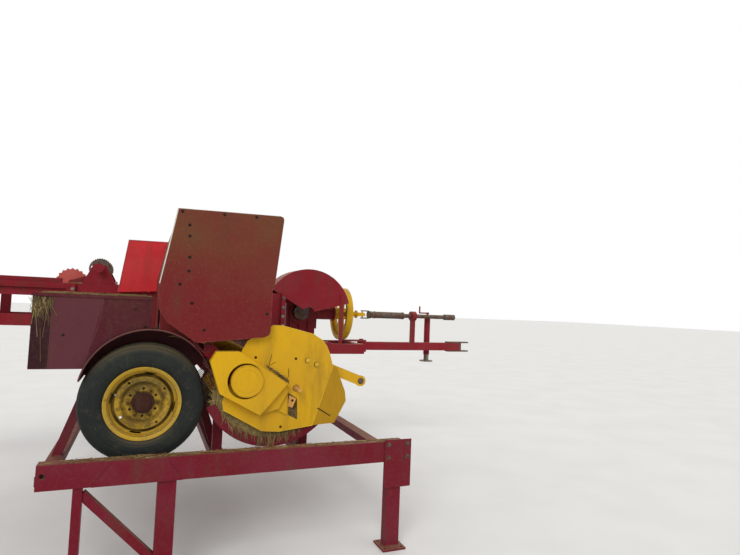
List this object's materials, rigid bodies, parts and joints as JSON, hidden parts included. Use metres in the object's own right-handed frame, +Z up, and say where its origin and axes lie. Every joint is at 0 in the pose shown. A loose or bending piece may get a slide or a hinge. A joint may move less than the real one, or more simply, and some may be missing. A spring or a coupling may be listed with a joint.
{
  "type": "small square baler on a fixed stand",
  "caption": "Small square baler with pickup, feeder, bale case, knotters, twine box, drawbar and wheels, parked on a welded steel stand.",
  "frame": {"origin": "middle of the footprint of the whole machine, on the floor that the stand is on", "axes": "+X forward to the hitch, +Y to the left of the machine, +Z up"},
  "size_m": [6.272, 3.12, 2.112],
  "materials": {
    "maroon_paint": "faded dark red paint, dusty, worn to primer at the edges",
    "red_paint": "red machine paint with dust and rust at the edges",
    "yellow_paint": "golden yellow paint, chipped",
    "tyre_rubber": "worn dusty rubber",
    "bare_steel": "worn steel with brown rust"
  },
  "bodies": {
    "root": {"bale_case": "red_paint", "main_frame": "red_paint", "axle_beam": "red_paint", "tension_rails": "red_paint", "tension_springs": "bare_steel", "knotter_frame": "maroon_paint", "knotters": "bare_steel", "needle_yoke": "bare_steel", "plunger": "bare_steel", "connecting_rod": "maroon_paint", "crank_arm": "bare_steel", "gearbox": "red_paint", "crank_hood": "red_paint", "feeder_pan": "maroon_paint", "feeder_hood": "maroon_paint", "side_shield": "maroon_paint", "inner_panel": "red_paint", "twine_box": "maroon_paint", "wheel_arch": "maroon_paint", "stand_beams": "red_paint", "stand_legs": "red_paint", "stand_struts": "red_paint", "stand_pan": "red_paint"},
    "wheel_right": {"tyre_right": "tyre_rubber", "rim_right": "yellow_paint", "hub_right": "red_paint"},
    "wheel_left": {"tyre_left": "tyre_rubber", "rim_left": "yellow_paint", "hub_left": "red_paint"},
    "pickup": {"pickup_frame": "red_paint", "pickup_strippers": "yellow_paint", "pickup_guard": "yellow_paint", "pickup_cover": "yellow_paint", "pickup_arm": "yellow_paint", "wind_guard": "bare_steel"},
    "reel": {"pickup_reel": "bare_steel"},
    "fork_right": {"feeder_rotor_right": "yellow_paint"},
    "fork_left": {"feeder_rotor_left": "yellow_paint"},
    "box_lid": {"twine_box_lid": "maroon_paint"},
    "chute": {"bale_chute": "red_paint"},
    "meter": {"metering_wheel": "red_paint"},
    "flywheel": {"flywheel": "yellow_paint"},
    "drawbar": {"drawbar": "red_paint", "hitch_clevis": "bare_steel"},
    "shaft": {"driveline": "bare_steel"},
    "jack": {"jack_leg": "bare_steel"}
  },
  "joints": [
    {"name": "wheel_right_spin", "type": "hinge", "parent": "root", "child": "wheel_right", "pos_m": [-0.546, -1.2825, 0.96], "axis": [0, 1, 0], "continuous": true},
    {"name": "wheel_left_spin", "type": "hinge", "parent": "root", "child": "wheel_left", "pos_m": [-0.546, 1.25, 0.997], "axis": [0, 1, 0], "continuous": true},
    {"name": "pickup_lift", "type": "hinge", "parent": "root", "child": "pickup", "pos_m": [-0.196, -0.49, 1.262], "axis": [0, -1, 0], "range_deg": [-6, 0]},
    {"name": "reel_spin", "type": "hinge", "parent": "pickup", "child": "reel", "pos_m": [0.039, -0.49, 1.08], "axis": [0, 1, 0], "continuous": true},
    {"name": "fork_left_spin", "type": "hinge", "parent": "root", "child": "fork_left", "pos_m": [-0.146, -0.02, 1.68], "axis": [1, 0, 0], "continuous": true},
    {"name": "fork_right_spin", "type": "hinge", "parent": "root", "child": "fork_right", "pos_m": [-0.146, -0.75, 1.68], "axis": [1, 0, 0], "continuous": true},
    {"name": "twine_lid", "type": "hinge", "parent": "root", "child": "box_lid", "pos_m": [-0.824, -0.738, 1.573], "axis": [-1, 0, 0], "range_deg": [0, 100]},
    {"name": "chute_fold", "type": "hinge", "parent": "root", "child": "chute", "pos_m": [-2.316, 0.6885, 1.277], "axis": [0, 1, 0], "range_deg": [0, 90]},
    {"name": "meter_spin", "type": "hinge", "parent": "root", "child": "meter", "pos_m": [-1.186, 0.6885, 1.676], "axis": [0, 1, 0], "continuous": true},
    {"name": "flywheel_spin", "type": "hinge", "parent": "root", "child": "flywheel", "pos_m": [1.414, 0.8485, 1.478], "axis": [1, 0, 0], "continuous": true},
    {"name": "drawbar_swing", "type": "hinge", "parent": "root", "child": "drawbar", "pos_m": [1.704, 0.8485, 1.079], "axis": [0, 0, 1], "range_deg": [-24, 0]},
    {"name": "shaft_spin", "type": "hinge", "parent": "drawbar", "child": "shaft", "pos_m": [2.354, 0.8485, 1.478], "axis": [1, 0, 0], "continuous": true},
    {"name": "jack_slide", "type": "slide", "parent": "drawbar", "child": "jack", "axis": [0, 0, -1], "range_m": [0, 0.3]}
  ],
  "couplings": [
    {"joint": "fork_right_spin", "follows": "fork_left_spin", "ratio": 1},
    {"joint": "shaft_spin", "follows": "flywheel_spin", "ratio": 1}
  ]
}
